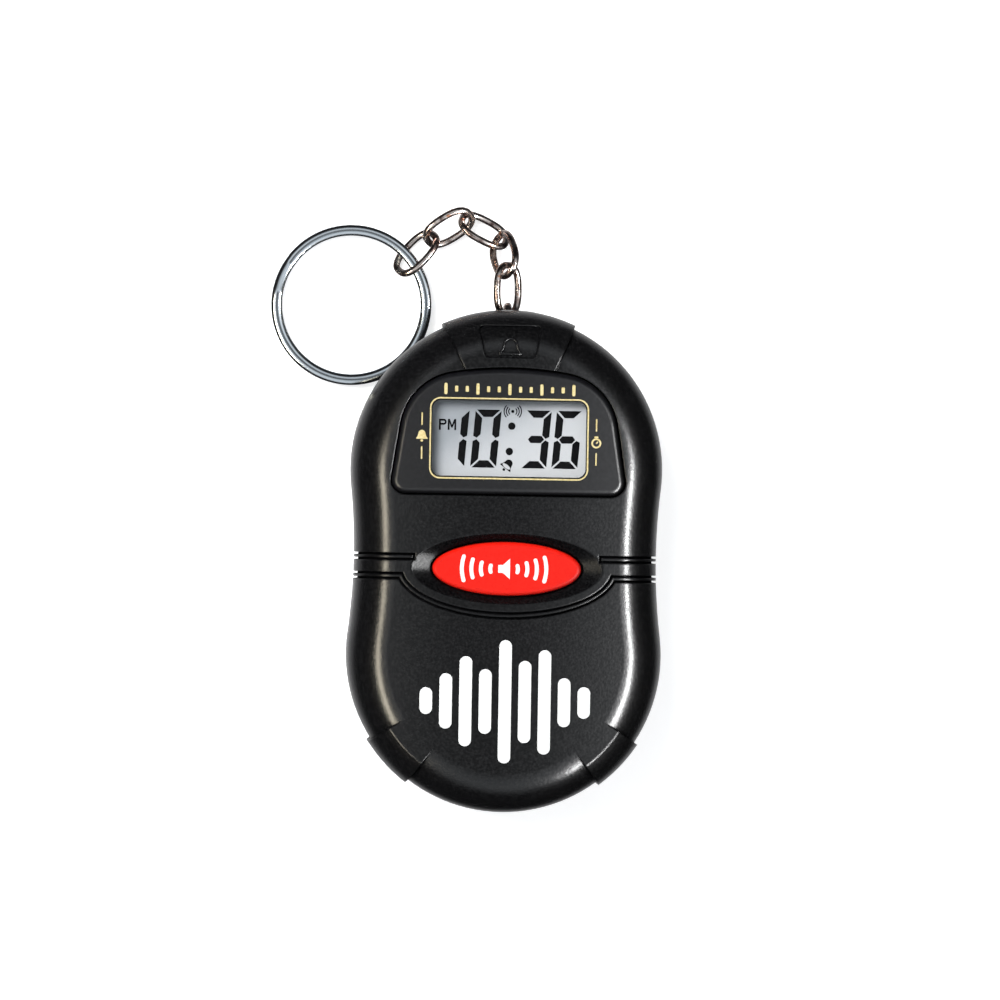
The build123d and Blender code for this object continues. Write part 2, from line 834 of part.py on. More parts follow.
def split_ring():
    """Two flat turns of wire, joined where the wire crosses from the lower to the upper turn."""
    lower, upper = -(ring_coil + ring_coil_gap) / 2, (ring_coil + ring_coil_gap) / 2
    middle = ring_outer_radius - ring_band / 2
    turn = 360 - crossover_sweep
    rise = upper - lower
    climb = Helix(rise * 360 / crossover_sweep, rise, middle, center=(0, 0, lower))
    ramp = sweep(ring_section(lower), path=climb, is_frenet=True)
    first = Rot(0, 0, -turn) * revolve(ring_section(lower), Axis.Z, turn)
    second = Rot(0, 0, crossover_sweep) * revolve(ring_section(upper), Axis.Z, turn)
    start = crossover_angle - ring_heading - crossover_sweep / 2
    return ring_plane() * Rot(0, 0, start) * (first + ramp + second)


# All pieces by name
pieces = {
    "front_shell": front_shell(),
    "rear_shell": rear_shell(),
    "display_bezel": display_bezel(),
    "display_window": display_window(),
    "lcd_panel": lcd_panel(),
    "zebra_strip": zebra_strip(),
    "circuit_board": circuit_board(),
    "clock_chip": glob(clock_chip_radius, clock_chip_height, clock_chip_y),
    "voice_chip": glob(voice_chip_radius, voice_chip_height, voice_chip_y),
    "quartz_crystal": quartz_crystal(),
    "capacitor": capacitor(),
    "speaker_frame": speaker_frame(),
    "speaker_magnet": speaker_magnet(),
    "speaker_cone": speaker_cone(),
    "speaker_leads": speaker_leads(),
    "board_screws": board_screws(),
    "case_screws": case_screws(),
    "battery_cell_left": battery_cell(cell_places["left"], True),
    "battery_cell_right": battery_cell(cell_places["right"], False),
    "contact_negative": contact_leaf(-1),
    "contact_positive": contact_leaf(1),
    "contact_bridge": contact_bridge(),
    "battery_door": battery_door(),
    "battery_door_screw": battery_door_screw(),
    "talk_button": talk_button(),
    "talk_dome": dome(talk_dome_radius, stem_radius, board_top, stem_bottom, (0, button_y)),
    "lug_eye": lug_eye(),
    "split_ring": split_ring(),
}
for key, place in key_places.items():
    pieces[f"{key}_button"] = key_button(place)
    pieces[f"{key}_dome"] = dome(key_dome_radius, key_stem_radius, board_bottom, key_stem_top, place)
for number, frame in enumerate(link_frames(), start=1):
    pieces[f"chain_link_{number}"] = chain_link(*frame)

os.makedirs("parts", exist_ok=True)
for name, piece in pieces.items():
    solids = piece if isinstance(piece, list) else [piece]
    export_step(Compound(label=name, children=[s for one in solids for s in one.solids()]), f"parts/{name}.step")
    print(name, round(sum(one.volume for one in solids), 2))
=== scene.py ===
# %% [markdown]
# # A key-ring talking clock
# The clock is a black moulded case with a display, one red talk button, a chain and a split ring. Its solids
# come packed from the construction model, at their real size and place. This lesson adds what the eye needs:
# finishes, prints, the display's segments, and smooth wire for the chain and the ring.

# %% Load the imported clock
import json
import math
import bmesh
import bpy
import numpy
from mathutils import Euler, Matrix, Vector


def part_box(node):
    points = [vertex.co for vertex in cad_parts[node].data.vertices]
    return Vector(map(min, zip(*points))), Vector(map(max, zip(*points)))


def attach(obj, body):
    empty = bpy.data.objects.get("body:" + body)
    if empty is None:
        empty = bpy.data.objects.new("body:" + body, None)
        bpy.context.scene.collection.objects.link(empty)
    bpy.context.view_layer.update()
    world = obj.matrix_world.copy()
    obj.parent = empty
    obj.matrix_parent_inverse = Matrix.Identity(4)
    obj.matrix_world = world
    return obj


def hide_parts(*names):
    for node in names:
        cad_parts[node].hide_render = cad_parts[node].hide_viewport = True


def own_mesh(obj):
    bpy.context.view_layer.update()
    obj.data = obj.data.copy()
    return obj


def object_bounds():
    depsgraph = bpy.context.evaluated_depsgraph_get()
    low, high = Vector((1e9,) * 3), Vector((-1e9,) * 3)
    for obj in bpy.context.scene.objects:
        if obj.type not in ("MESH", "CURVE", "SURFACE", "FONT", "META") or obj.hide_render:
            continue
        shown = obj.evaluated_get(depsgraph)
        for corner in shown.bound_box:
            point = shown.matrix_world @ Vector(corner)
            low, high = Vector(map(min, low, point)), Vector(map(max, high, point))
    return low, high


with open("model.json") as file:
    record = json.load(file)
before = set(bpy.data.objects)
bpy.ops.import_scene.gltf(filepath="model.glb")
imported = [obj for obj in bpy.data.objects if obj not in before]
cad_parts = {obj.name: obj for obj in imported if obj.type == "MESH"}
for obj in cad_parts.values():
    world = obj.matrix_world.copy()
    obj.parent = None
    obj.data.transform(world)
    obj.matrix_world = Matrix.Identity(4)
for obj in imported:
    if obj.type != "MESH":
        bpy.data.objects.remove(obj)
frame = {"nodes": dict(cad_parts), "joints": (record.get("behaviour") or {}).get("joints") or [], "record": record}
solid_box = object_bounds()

# %% [markdown]
# Blender works in metres and the clock is a few centimetres long, so sizes are written in millimetres and
# multiplied by `mm`. Three helpers serve every step below: one turns an sRGB hex colour into the linear
# values that shaders use, one adds a node with its settings and links, and one finishes a piece.

# %% Units and helpers
mm = 0.001
weld_gap = 0.0005 * mm
scene = bpy.context.scene


def linear(hex_colour):
    """An sRGB hex colour such as "e8d69a" as linear red, green, blue and alpha."""
    channels = [int(hex_colour[i : i + 2], 16) / 255 for i in (0, 2, 4)]
    return [c / 12.92 if c <= 0.04045 else ((c + 0.055) / 1.055) ** 2.4 for c in channels] + [1.0]


def add(tree, kind, inputs=None, **settings):
    """Adds a node. Settings are its properties; inputs maps a socket to a value or to an output to link."""
    node = tree.nodes.new(kind)
    for name, value in settings.items():
        setattr(node, name, value)
    for key, value in (inputs or {}).items():
        if isinstance(value, bpy.types.NodeSocket):
            tree.links.new(value, node.inputs[key])
        else:
            node.inputs[key].default_value = value
    return node


def finish_piece(name, mesh, body, material):
    """Makes a mesh a piece of the clock: closed, facing outwards, and riding on a body."""
    shape = bmesh.new()
    shape.from_mesh(mesh)
    bmesh.ops.remove_doubles(shape, verts=shape.verts, dist=weld_gap)
    bmesh.ops.recalc_face_normals(shape, faces=shape.faces)
    shape.to_mesh(mesh)
    shape.free()
    mesh.name = name
    mesh.materials.clear()
    mesh.materials.append(material)
    piece = bpy.data.objects.new(name, mesh)
    scene.collection.objects.link(piece)
    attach(piece, body)
    print(name, len(mesh.polygons), "faces on", body)
    return piece


print("the solids measure", [round(side / mm, 1) for side in solid_box[1] - solid_box[0]], "mm")

# %% [markdown]
# The photograph looks almost straight down on the clock with a long lens. The case is turned by less than
# a degree, and its front sits a little right of its outline, so the camera stands slightly to the left.

# %% Camera
frame_width = 128.2 * mm
aim = Vector((-0.504, 7.909, 5.0)) * mm
camera_distance = 0.9
lean_left = math.radians(2.5)
roll = math.radians(0.95)

camera_data = bpy.data.cameras.new("camera")
camera_data.lens = camera_data.sensor_width * camera_distance / frame_width
camera = bpy.data.objects.new("camera", camera_data)
camera.location = aim + camera_distance * Vector((-math.sin(lean_left), 0, math.cos(lean_left)))
camera.rotation_euler = (Matrix.Rotation(-lean_left, 3, "Y") @ Matrix.Rotation(roll, 3, "Z")).to_euler()
scene.collection.objects.link(camera)
scene.camera = camera
scene.view_settings.view_transform = "Standard"
print("lens", round(camera_data.lens, 1), "mm")

# %% [markdown]
# A product like this is lit by long strip softboxes at both sides, nearer to its foot: they draw the bright
# lines down the rounded edges of the case, the right one stronger, and are kept for mirrored light alone. A
# broad cloth at the upper left gives the even light, and no surface mirrors it.

# %% Softboxes
def softbox(name, lean, turn, width, length, power, distance=0.5, shift=0.0, colour="ffffff"):
    """An area light; lean is its angle from overhead, turn its angle round Z from +X, shift is along Y."""
    data = bpy.data.lights.new(name, "AREA")
    data.shape = "RECTANGLE"
    data.size, data.size_y = width, length
    data.energy = power
    data.color = linear(colour)[:3]
    light = bpy.data.objects.new(name, data)
    out = Vector((math.sin(lean) * math.cos(turn), math.sin(lean) * math.sin(turn), math.cos(lean)))
    centre = (solid_box[0] + solid_box[1]) / 2
    light.location = centre + out * distance + Vector((0, shift, 0))
    light.rotation_euler = Euler((0, lean, turn))
    scene.collection.objects.link(light)
    return light


strip_lean = math.radians(42)
cloth_lean, cloth_turn = math.radians(33), math.radians(140)
warm_white = "fdf3dc"
right_strip = softbox("right_strip", strip_lean, 0, width=0.065, length=0.4, power=6.2, shift=-0.18)
left_strip = softbox("left_strip", strip_lean, math.pi, 0.09, 0.3, power=1.6, shift=-0.12, colour=warm_white)
right_strip.visible_diffuse = left_strip.visible_diffuse = False
key_cloth = softbox("key_cloth", cloth_lean, cloth_turn, width=0.4, length=0.4, power=7.9, distance=0.8)
key_cloth.visible_glossy = False
print("lights:", [light.name for light in (right_strip, left_strip, key_cloth)])

# %% [markdown]
# The sky is pale overhead, which the flat faces and the plated steel mirror, and dark round it, so that the
# rounded edges turn black. The pale part leans a little towards the foot of the clock. Straight above it has
# a dark opening, as a tent has for the camera, so the middle of a flat face looks darker than its sides.
# Below the horizon the sky is bright only straight down.

# %% Sky
opening_angle = math.radians(18)
cloth_side = (0.06, -0.22, 0.97)
sky_stops = {0.0: "e8e8e8", 0.16: "a8a8aa", 0.26: "2a2a2c", 0.8: "161618", 0.93: "e8edf2", 0.99: "c4cad0"}

world = bpy.data.worlds.new("studio_sky")
scene.world = world
world.use_nodes = True
sky = world.node_tree
sky.nodes.clear()
direction = add(sky, "ShaderNodeTexCoord").outputs["Generated"]
facing = {0: direction, 1: cloth_side}
height = add(sky, "ShaderNodeVectorMath", facing, operation="DOT_PRODUCT").outputs["Value"]
upward = add(sky, "ShaderNodeMapRange", {"Value": height, "From Min": -1.0}).outputs[0]
ramp = add(sky, "ShaderNodeValToRGB", {0: upward})
for index, (position, colour) in enumerate(sky_stops.items()):
    stop = ramp.color_ramp.elements[index] if index < 2 else ramp.color_ramp.elements.new(position)
    stop.position = position
    stop.color = linear(colour)
rise = add(sky, "ShaderNodeSeparateXYZ", {0: direction}).outputs["Z"]
opening = {"Value": rise, "From Min": math.cos(opening_angle), "To Min": 1.0, "To Max": 0.0}
peephole = add(sky, "ShaderNodeMapRange", opening).outputs[0]
shown = {0: ramp.outputs[0], "Scale": peephole}
lit = add(sky, "ShaderNodeVectorMath", shown, operation="SCALE").outputs[0]
background = add(sky, "ShaderNodeBackground", {"Color": lit, "Strength": 1.0})
add(sky, "ShaderNodeOutputWorld", {"Surface": background.outputs[0]})
print("the sky has", len(ramp.color_ramp.elements), "tones from straight down to overhead")

# %% [markdown]
# A lit white card lies a hair under the clock, as on a studio table. Mirrored rays pass through it to the
# lower half of the sky: that keeps the card's far end from greying the black rims.

# %% Floor
floor_half = 1.5
floor_drop = 0.03 * mm
card_glow = 0.7
floor_mesh = bpy.data.meshes.new("floor")
corners = [(x * floor_half, y * floor_half, -floor_drop) for x, y in ((-1, -1), (1, -1), (1, 1), (-1, 1))]
floor_mesh.from_pydata(corners, [], [(0, 1, 2, 3)])
floor = bpy.data.objects.new("floor", floor_mesh)
floor.visible_glossy = False
scene.collection.objects.link(floor)

# Matt card gives an even white that takes only a faint shadow.
floor_card = bpy.data.materials.new("matt_white_card")
floor_card.use_nodes = True
card = floor_card.node_tree.nodes["Principled BSDF"].inputs
card["Base Color"].default_value = linear("f4f4f4")
card["Roughness"].default_value = 0.9
card["Emission Color"].default_value = linear("ffffff")
card["Emission Strength"].default_value = card_glow
floor_mesh.materials.append(floor_card)
print("card", 2 * floor_half, "m wide,", round(floor_drop / mm, 2), "mm under the clock")

# %% [markdown]
# Every material starts from a Principled shader. A noise of a real grain size, read from Object coordinates,
# lets its colour and its roughness wander a little and can dent the surface, because no real finish is quite
# even. A grain finer than a pixel is drawn as coarse as it must be to show. Large moulded faces are never
# quite flat either: a second function bends their reflections a little from side to side.

# %% Starting a material
def make_material(name, colours, grain, roughness, dents=0.0, metallic=0.0, ior=1.5):
    """A material whose colour and roughness wander over a grain; dents is the grain's depth as relief."""
    made = bpy.data.materials.new(name)
    made.use_nodes = True
    tree = made.node_tree
    shader = tree.nodes["Principled BSDF"]
    shader.inputs["Metallic"].default_value = metallic
    shader.inputs["IOR"].default_value = ior
    place = add(tree, "ShaderNodeTexCoord", name="place").outputs["Object"]
    noise = {"Vector": place, "Scale": 1 / grain, "Detail": 2.0}
    wander = add(tree, "ShaderNodeTexNoise", noise, name="grain").outputs[0]
    stops = add(tree, "ShaderNodeValToRGB", {0: wander}, name="colours")
    # Noise stays mostly between 0.3 and 0.7, so the colours are spread over that.
    for index, colour in enumerate(colours):
        position = 0.3 + 0.4 * index / (len(colours) - 1)
        stop = stops.color_ramp.elements[index] if index < 2 else stops.color_ramp.elements.new(position)
        stop.position = position
        stop.color = linear(colour)
    tree.links.new(stops.outputs[0], shader.inputs["Base Color"])
    spread = {"Value": wander, "To Min": roughness[0], "To Max": roughness[1]}
    rough = add(tree, "ShaderNodeMapRange", spread, name="roughness")
    tree.links.new(rough.outputs[0], shader.inputs["Roughness"])
    if dents:
        relief = add(tree, "ShaderNodeBump", {"Height": wander, "Distance": dents}, name="dents")
        tree.links.new(relief.outputs[0], shader.inputs["Normal"])
    return made


def crown(material, half_width, rise):
    """Bends the reflections of flat faces as a slight crown does, which is higher by rise in the middle."""
    tree = material.node_tree
    across = add(tree, "ShaderNodeSeparateXYZ", {0: tree.nodes["place"].outputs["Object"]}).outputs["X"]
    share = add(tree, "ShaderNodeMath", {0: across, 1: half_width}, operation="DIVIDE").outputs[0]
    fall = add(tree, "ShaderNodeMath", {0: share, 1: share}, operation="MULTIPLY").outputs[0]
    bend = add(tree, "ShaderNodeBump", {"Height": fall, "Distance": rise}, invert=True)
    tree.links.new(bend.outputs[0], tree.nodes["dents"].inputs["Normal"])
    return bend


print("slots to dress:", sorted({node.material_slots[0].material.name for node in frame["nodes"].values()}))

# %% [markdown]
# The case is black ABS from a spark-eroded tool: a fine pitted grain that breaks highlights into soft lines
# with a sparkle. Moulded edges are never quite sharp: a Bevel node rounds them for the light without new
# faces. The large front is crowned a little.

# %% Case plastic
# Spark-eroded ABS gives the eye a deep black with soft, broken highlights. The real pits are about 0.05 mm
# wide, too fine to show here, so they are drawn coarser.
spark_grain = 0.3 * mm
spark_depth = 0.013 * mm
edge_round = 0.3 * mm

case_tones = ["070708", "0d0d0e", "171718"]
case_abs = make_material("spark_textured_black_abs", case_tones, spark_grain, (0.18, 0.3), spark_depth)
tree = case_abs.node_tree
soft_edge = add(tree, "ShaderNodeBevel", {"Radius": edge_round}, samples=6).outputs[0]
bend = crown(case_abs, half_width=20.0 * mm, rise=1.8 * mm)
tree.links.new(soft_edge, bend.inputs["Normal"])
print("case grain", round(spark_grain / mm, 2), "mm, edges rounded by", round(edge_round / mm, 2), "mm")

# %% [markdown]
# Grooves and gaps get painted shade: they mirror less the deeper they lie, and a node that measures how
# much of the sky a point sees tells how deep. The mirror also fades to a fifth inside an oval round the
# button, so the dish looks darker, and the crown ends there.

# %% Painted shade in grooves and a darker dish
cavity = 1.2 * mm
deep_view, open_view, open_mirror = 0.6, 0.95, 0.5
case_front = 17.0 * mm
dish_size = Vector((24.2, 9.0, 17.0)) * mm
dish_gloss, dish_edge = 0.2, (0.98, 1.02)

# Ambient occlusion turns the mirror down in grooves and gaps: this is painted shade.
open_sky = add(tree, "ShaderNodeAmbientOcclusion", {"Distance": cavity}, samples=8).outputs["AO"]
painted_groove_shade = {"Value": open_sky, "From Min": deep_view, "From Max": open_view, "To Max": open_mirror}
mirror = add(tree, "ShaderNodeMapRange", painted_groove_shade).outputs[0]

button_low, button_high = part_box("talk_button")
button_y = (button_low.y + button_high.y) / 2
dish_middle = (0, button_y, case_front)
place = tree.nodes["place"].outputs["Object"]
centred = add(tree, "ShaderNodeVectorMath", {0: place, 1: dish_middle}, operation="SUBTRACT")
shares = {0: centred.outputs[0], 1: dish_size / 2}
oval = add(tree, "ShaderNodeVectorMath", shares, operation="DIVIDE").outputs[0]
reach = add(tree, "ShaderNodeVectorMath", {0: oval}, operation="LENGTH").outputs["Value"]
fade = {"Value": reach, "From Min": dish_edge[0], "From Max": dish_edge[1]}
past_dish = add(tree, "ShaderNodeMapRange", fade).outputs[0]
tree.links.new(past_dish, bend.inputs["Strength"])
gloss = add(tree, "ShaderNodeMapRange", {"Value": past_dish, "To Min": dish_gloss}).outputs[0]
shaded_mirror = add(tree, "ShaderNodeMath", {0: mirror, 1: gloss}, operation="MULTIPLY").outputs[0]
tree.links.new(shaded_mirror, tree.nodes["Principled BSDF"].inputs["Specular IOR Level"])
print("the dish lies round y =", round(button_y / mm, 2), "mm")

# %% [markdown]
# The display plate is satin black acrylic, smoother than the case, and the talk button is red ABS with a
# light satin skin that lets a little light in. Its skirt stands in a narrow gap, so the red is painted darker
# from the crown down: painted shade.

# %% Bezel and button plastic
# Satin acrylic gives an even dark grey with a soft clear light along its rounded edge.
bezel_tones = ["121214", "17171a"]
bezel_skin = (0.28, 0.36)
bezel_acrylic = make_material("satin_black_acrylic", bezel_tones, 0.5 * mm, bezel_skin, 0.003 * mm, ior=1.49)
crown(bezel_acrylic, half_width=14.0 * mm, rise=0.7 * mm)

# Moulded red ABS gives a strong, even colour that seems to glow a little from inside.
button_abs = make_material("moulded_red_abs", ["e41b0f", "ec2013"], 0.3 * mm, (0.4, 0.5), 0.006 * mm)
button_skin = button_abs.node_tree.nodes["Principled BSDF"].inputs
button_skin["Specular IOR Level"].default_value = 0.12
button_skin["Subsurface Weight"].default_value = 0.06
button_skin["Subsurface Radius"].default_value = (0.8 * mm, 0.2 * mm, 0.1 * mm)
# The red is painted darker from the crown down to the skirt: painted shade for the narrow gap round the button.
skirt_top = button_high.z - 0.6 * mm
crown_edge = button_high.z - 0.25 * mm
skirt_painted_shade = "2a0503"
tree = button_abs.node_tree
level = add(tree, "ShaderNodeSeparateXYZ", {0: tree.nodes["place"].outputs["Object"]}).outputs["Z"]
from_skirt = {"Value": level, "From Min": skirt_top, "From Max": crown_edge}
in_light = add(tree, "ShaderNodeMapRange", from_skirt).outputs[0]
red = tree.nodes["colours"].outputs[0]
# Sockets 6 and 7 are the two colours of a mix node.
shaded = {0: in_light, 6: linear(skirt_painted_shade), 7: red}
skirted = add(tree, "ShaderNodeMix", shaded, data_type="RGBA").outputs[2]
tree.links.new(skirted, button_skin["Base Color"])
print("button crown at", round(button_high.z / mm, 2), "mm")

# %% [markdown]
# The window is thin clear acrylic. A liquid-crystal panel is a silvery grey polariser under glass, painted
# darker towards its upper left corner as shade from the window's rim; its switched segments are near black.
# The prints are pale gold foil and white ink.

# %% Display and print materials
# Cast acrylic is almost unseen, apart from its gloss.
window_acrylic = make_material("cast_clear_acrylic", ["1e2428", "262c30"], 1.5 * mm, (0.03, 0.07), ior=1.49)
window_acrylic.node_tree.nodes["Principled BSDF"].inputs["Alpha"].default_value = 0.05

# A laminated polariser film gives a cool silvery grey; painted shade darkens it towards one corner.
lcd_tones = ["a8adb2", "d0d3d6", "dcdee0"]
lcd_polariser = make_material("laminated_silver_polariser", lcd_tones, 0.2 * mm, (0.26, 0.34))
lcd_low, lcd_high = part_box("lcd_panel")
lcd_middle = (lcd_low + lcd_high) / 2
# How far the polariser is painted darker towards its upper left corner, as shade from the window's rim.
painted_corner_shade = 0.55
diagonal = (painted_corner_shade / (lcd_high.x - lcd_low.x), -painted_corner_shade / (lcd_high.y - lcd_low.y), 0)
tree = lcd_polariser.node_tree
place = tree.nodes["place"].outputs["Object"]
from_middle = add(tree, "ShaderNodeVectorMath", {0: place, 1: lcd_middle}, operation="SUBTRACT").outputs[0]
slope = add(tree, "ShaderNodeVectorMath", {0: from_middle, 1: diagonal}, operation="DOT_PRODUCT")
speckle = {"Value": tree.nodes["grain"].outputs[0], "To Min": 0.46, "To Max": 0.54}
speckled = add(tree, "ShaderNodeMapRange", speckle).outputs[0]
tone = add(tree, "ShaderNodeMath", {0: slope.outputs["Value"], 1: speckled}).outputs[0]
tree.links.new(tone, tree.nodes["colours"].inputs[0])

# Switched liquid crystal looks near black and has no gloss of its own.
lcd_segment = make_material("dark_liquid_crystal", ["0b0a0b", "121112"], 0.4 * mm, (0.4, 0.5))
lcd_segment.node_tree.nodes["Principled BSDF"].inputs["Specular IOR Level"].default_value = 0.05
# Hot-stamped foil gives a pale, half-matt gold with little sheen.
gold_foil = make_material("hot_stamped_gold_foil", ["d2bd7c", "e9d9a2"], 0.3 * mm, (0.36, 0.5), metallic=0.15)
# Screen ink lies thick and gives a dense matt white.
white_ink = make_material("white_screen_ink", ["ececea", "f8f8f7"], 0.25 * mm, (0.45, 0.55), 0.006 * mm)
print("the display measures", [round(side / mm, 1) for side in lcd_high - lcd_low], "mm")

# %% [markdown]
# The split ring is drawn spring wire, rolled a little flat, with a bright zinc plate that looks bluish. Its
# drawing lines run round it: the noise there reads only the distance from the ring's centre. The chain and
# its eye are nickel-plated steel wire, darker, with warm tarnish in patches.

# %% Metals
ring_joint = next(j for j in frame["joints"] if j["name"] == "ring_spin")
ring_centre = Vector(ring_joint["pos_m"])
drawing_line = 0.09 * mm

# Zinc on drawn spring wire gives bright bluish light in lines along the wire. Real drawing lines are about
# 0.01 mm wide, so they are drawn coarser.
ring_tones = ["c6d0d8", "dae1e6", "e8ebed"]
ring_steel = make_material("zinc_plated_spring_steel", ring_tones, drawing_line, (0.1, 0.24), 0.003 * mm, 1.0)
tree = ring_steel.node_tree
place = tree.nodes["place"].outputs["Object"]
around = add(tree, "ShaderNodeMapping", {"Vector": place, "Location": -ring_centre}).outputs[0]
flat = add(tree, "ShaderNodeVectorMath", {0: around, 1: (1, 1, 0)}, operation="MULTIPLY").outputs[0]
radius = add(tree, "ShaderNodeVectorMath", {0: flat}, operation="LENGTH").outputs["Value"]
tree.nodes["grain"].noise_dimensions = "1D"
tree.links.new(radius, tree.nodes["grain"].inputs["W"])

# Tarnished nickel plate gives a warm grey mirror with coppery patches.
nickel_tones = ["6b5650", "a08d86", "d0c4be", "e0d6d0", "c08a6c"]
chain_nickel = make_material("tarnished_nickel_plate", nickel_tones, 1.2 * mm, (0.14, 0.32), 0.002 * mm, 1.0)
# Zinc-plated screw heads look cool grey and a little hazy.
screw_zinc = make_material("zinc_plated_steel", ["8f8f92", "b7b7b8"], 0.4 * mm, (0.22, 0.42), 0.003 * mm, 1.0)
# Rolled bronze has a warm yellow shine.
contact_bronze = make_material("rolled_bronze_strip", ["b98f55", "d2b078"], 0.8 * mm, (0.24, 0.36), 0.0, 1.0)
# Tin plate is pale and satiny.
can_metal = make_material("tin_plated_can", ["bcbfbe", "d0d2d1"], 0.4 * mm, (0.18, 0.35), 0.0, 1.0)
# Pressed zinc sheet is a dull, cloudy grey.
speaker_metal = make_material("pressed_zinc_sheet", ["838587", "a9abac"], 1.2 * mm, (0.28, 0.42), 0.0, 1.0)

# Brushed stainless steel shows straight fine streaks.
cell_tones = ["b9b9b7", "cfcfcd"]
cell_steel = make_material("brushed_stainless_can", cell_tones, 0.15 * mm, (0.2, 0.38), 0.002 * mm, 1.0)
tree = cell_steel.node_tree
stretch = {"Vector": tree.nodes["place"].outputs["Object"], "Scale": (1, 0.06, 1)}
tree.links.new(add(tree, "ShaderNodeMapping", stretch).outputs[0], tree.nodes["grain"].inputs["Vector"])
print("drawing lines", round(drawing_line / mm, 2), "mm wide, round", [round(c / mm, 1) for c in ring_centre])

# %% [markdown]
# The pieces inside rarely show, only through the grille or with the battery door off, but each has its own
# finish: green board laminate with a woven glass look, black potting resin, paper, rubber and lead cover.

# %% Inner materials
weave_pitch = 0.35 * mm
# Lacquered glass laminate shows a faint weave in its green.
board_laminate = make_material("lacquered_green_laminate", ["244c2d", "356b41"], weave_pitch, (0.3, 0.4))
tree = board_laminate.node_tree
weave = {"Vector": tree.nodes["place"].outputs["Object"], "Scale": 1 / weave_pitch}
crossing = add(tree, "ShaderNodeTexChecker", weave).outputs["Fac"]
tree.links.new(crossing, tree.nodes["colours"].inputs[0])

# Dropped resin sets as glossy black lumps.
potting_resin = make_material("dropped_black_resin", ["101010", "1c1c1c"], 0.8 * mm, (0.18, 0.26), ior=1.55)
# Moulded silicone looks soft and matt.
dome_rubber = make_material("moulded_grey_silicone", ["85878a", "95979a"], 0.6 * mm, (0.55, 0.65), ior=1.41)
# Pressed paper pulp is matt and fibrous.
cone_paper = make_material("pressed_black_paper", ["211f1d", "383532"], 0.25 * mm, (0.75, 0.85), 0.02 * mm)
# Extruded vinyl is a plain red with a soft shine.
lead_vinyl = make_material("extruded_red_vinyl", ["981f19", "b32a22"], 0.7 * mm, (0.4, 0.5))
print("board weave", round(weave_pitch / mm, 2), "mm")

# %% [markdown]
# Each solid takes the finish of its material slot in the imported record, so nothing is left plain.

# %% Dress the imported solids
finishes = {
    "case_plastic": case_abs,
    "bezel_plastic": bezel_acrylic,
    "button_plastic": button_abs,
    "window_clear": window_acrylic,
    "lcd_glass": lcd_polariser,
    "spring_steel": ring_steel,
    "nickel_wire": chain_nickel,
    "cell_steel": cell_steel,
    "screw_steel": screw_zinc,
    "contact_metal": contact_bronze,
    "board_laminate": board_laminate,
    "resin": potting_resin,
    "can_metal": can_metal,
    "speaker_metal": speaker_metal,
    "cone_paper": cone_paper,
    "silicone": dome_rubber,
    "lead_cover": lead_vinyl,
}
for node in frame["nodes"].values():
    node.material_slots[0].material = finishes[node.material_slots[0].material.name]
print("dressed", len(frame["nodes"]), "solids with", len(finishes), "finishes")

# %% [markdown]
# Under each button stands a rubber dome that gives way when the button is pressed. A copy of each dome's mesh
# takes the solid's place.

# %% Rubber domes
for joint in frame["record"]["behaviour"]["joints"]:
    for soft in joint.get("deforming_nodes", []):
        dome_mesh = frame["nodes"][soft["node"]].data.copy()
        dome = finish_piece("soft_" + soft["node"], dome_mesh, "case", dome_rubber)
        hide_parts(soft["node"])
        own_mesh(dome)

# %% [markdown]
# Prints and display segments are very thin plates. Their outlines are drawn first, as loops of points in
# millimetres: a few functions make discs, rounded rectangles and bent bars, and one shifts and turns loops.

# %% Loops
arc_steps = 10


def disc(x, y, radius):
    """A round loop."""
    turns = [2 * math.pi * i / (4 * arc_steps) for i in range(4 * arc_steps)]
    return [(x + radius * math.cos(a), y + radius * math.sin(a)) for a in turns]


def rounded(x, y, width, height, corner):
    """A rectangle loop with round corners."""
    loop = []
    for quarter, (side_x, side_y) in enumerate(((1, 1), (-1, 1), (-1, -1), (1, -1))):
        for step in range(arc_steps + 1):
            angle = math.pi / 2 * (quarter + step / arc_steps)
            centre_x = x + side_x * (width / 2 - corner)
            centre_y = y + side_y * (height / 2 - corner)
            loop.append((centre_x + corner * math.cos(angle), centre_y + corner * math.sin(angle)))
    return loop


def arc_band(x, y, radius, width, start_angle, end_angle):
    """A bent bar with round ends, from one angle to another, in degrees."""
    loop = []
    half = width / 2
    first, last = math.radians(start_angle), math.radians(end_angle)
    for level, begin, finish, cap in ((radius + half, first, last, 0), (radius - half, last, first, math.pi)):
        for step in range(2 * arc_steps + 1):
            angle = begin + (finish - begin) * step / (2 * arc_steps)
            loop.append((x + level * math.cos(angle), y + level * math.sin(angle)))
        cap_x, cap_y = x + radius * math.cos(finish), y + radius * math.sin(finish)
        for step in range(1, arc_steps):
            angle = finish + cap + math.pi * step / arc_steps
            loop.append((cap_x + half * math.cos(angle), cap_y + half * math.sin(angle)))
    return loop


def moved(loops, x, y, size=1.0, turn=0.0):
    """Loops scaled, turned by degrees and shifted."""
    c, s = size * math.cos(math.radians(turn)), size * math.sin(math.radians(turn))
    return [[(x + c * px - s * py, y + s * px + c * py) for px, py in loop] for loop in loops]


print("a bent bar has", len(arc_band(0, 0, 1, 0.1, 0, 90)), "corners")

# %% [markdown]
# A 2D curve with a small extrusion is the easy way to fill loops: its fill makes holes where one loop lies
# inside another. The curve is made a mesh first and placed afterwards.

# %% Thin plates
ink = 0.02


